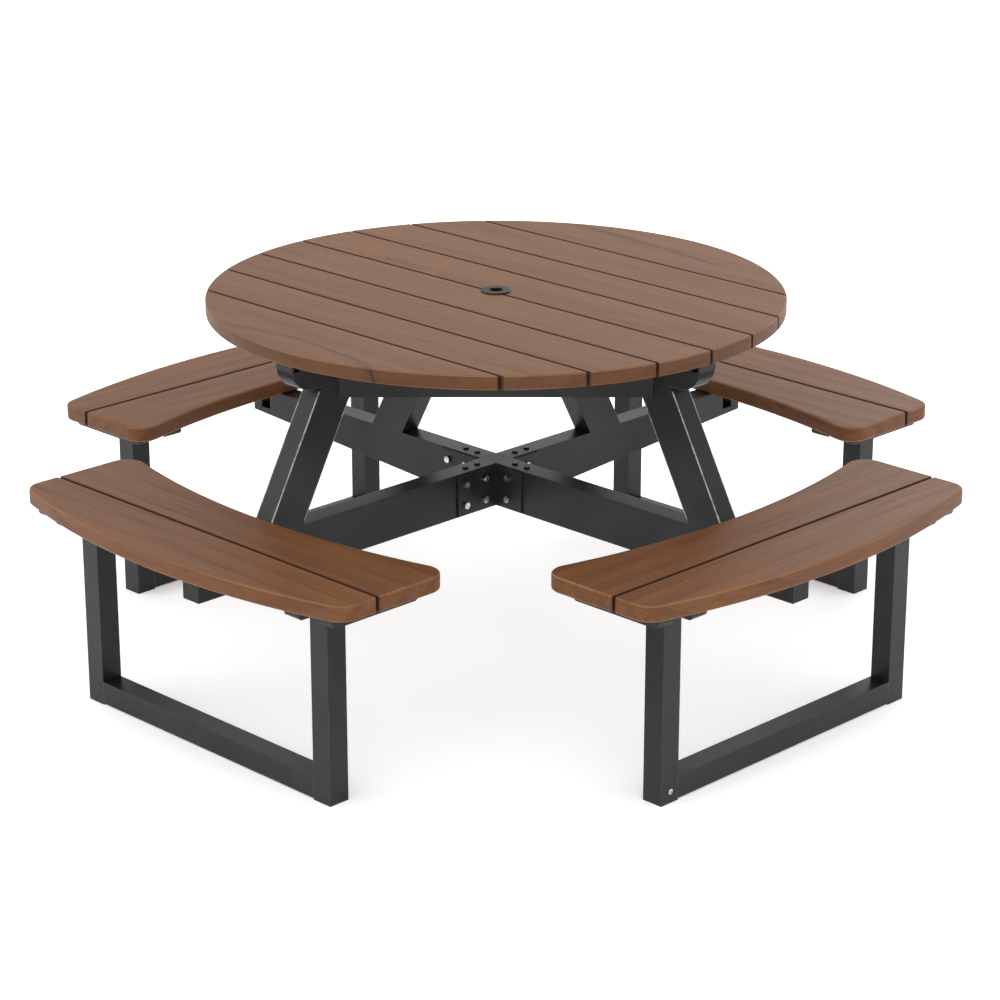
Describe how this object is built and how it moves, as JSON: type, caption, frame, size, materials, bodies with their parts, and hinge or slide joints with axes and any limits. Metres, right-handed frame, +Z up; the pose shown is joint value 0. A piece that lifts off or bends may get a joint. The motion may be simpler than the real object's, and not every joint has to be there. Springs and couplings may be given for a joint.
{
  "type": "picnic table",
  "caption": "Round slatted picnic table with an umbrella hole, on a braced cross frame of rectangular steel tube with curved benches on U-shaped leg frames",
  "frame": {"origin": "on the ground, under the middle of the round top", "axes": "+Z up; the top boards run along X; the benches lie on the +X, -X, +Y and -Y sides, and the -Y and +X sides are the front left and front right"},
  "size_m": [1.8, 1.8, 0.753],
  "materials": {
    "top_wood": "matt brown stained boards with a fine straight grain and eased edges",
    "seat_wood": "matt brown stained planks, a little darker and warmer than the top",
    "frame_steel": "satin black powder coat",
    "bracket_steel": "satin black powder coat on plate and castings",
    "black_plastic": "fine-textured black moulded plastic",
    "black_steel": "black coated screws and bolts",
    "plain_steel": "bright zinc plated bolts, nuts, rivet and screws"
  },
  "bodies": {
    "root": {"top_board_1": "top_wood", "top_board_2": "top_wood", "top_board_3": "top_wood", "top_board_4": "top_wood", "top_board_5": "top_wood", "top_board_6": "top_wood", "top_board_7": "top_wood", "top_board_8": "top_wood", "umbrella_grommet": "black_plastic", "top_rail_long": "frame_steel", "top_rail_left": "frame_steel", "top_rail_right": "frame_steel", "ring_rail_front": "frame_steel", "ring_rail_right": "frame_steel", "ring_rail_back": "frame_steel", "ring_rail_left": "frame_steel", "strut_front_left": "frame_steel", "strut_front_right": "frame_steel", "strut_back_right": "frame_steel", "strut_back_left": "frame_steel", "arm_front_left": "frame_steel", "arm_front_right": "frame_steel", "arm_back_right": "frame_steel", "arm_back_left": "frame_steel", "arm_end_caps": "black_plastic", "hub": "bracket_steel", "corner_brackets": "bracket_steel", "seat_inner_front_left": "seat_wood", "seat_inner_front_right": "seat_wood", "seat_inner_back_right": "seat_wood", "seat_inner_back_left": "seat_wood", "seat_outer_front_left": "seat_wood", "seat_outer_front_right": "seat_wood", "seat_outer_back_right": "seat_wood", "seat_outer_back_left": "seat_wood", "seat_brackets": "bracket_steel", "post_front_left_1": "frame_steel", "post_front_left_2": "frame_steel", "post_front_right_1": "frame_steel", "post_front_right_2": "frame_steel", "post_back_right_1": "frame_steel", "post_back_right_2": "frame_steel", "post_back_left_1": "frame_steel", "post_back_left_2": "frame_steel", "floor_rail_front_left": "frame_steel", "floor_rail_front_right": "frame_steel", "floor_rail_back_right": "frame_steel", "floor_rail_back_left": "frame_steel", "foot_pads": "black_plastic", "cross_bolts": "plain_steel", "cross_nuts": "plain_steel", "hub_screws": "black_steel", "board_screws": "plain_steel", "seat_screws": "black_steel", "seat_bolts": "black_steel", "post_rivet": "plain_steel"}
  },
  "joints": []
}
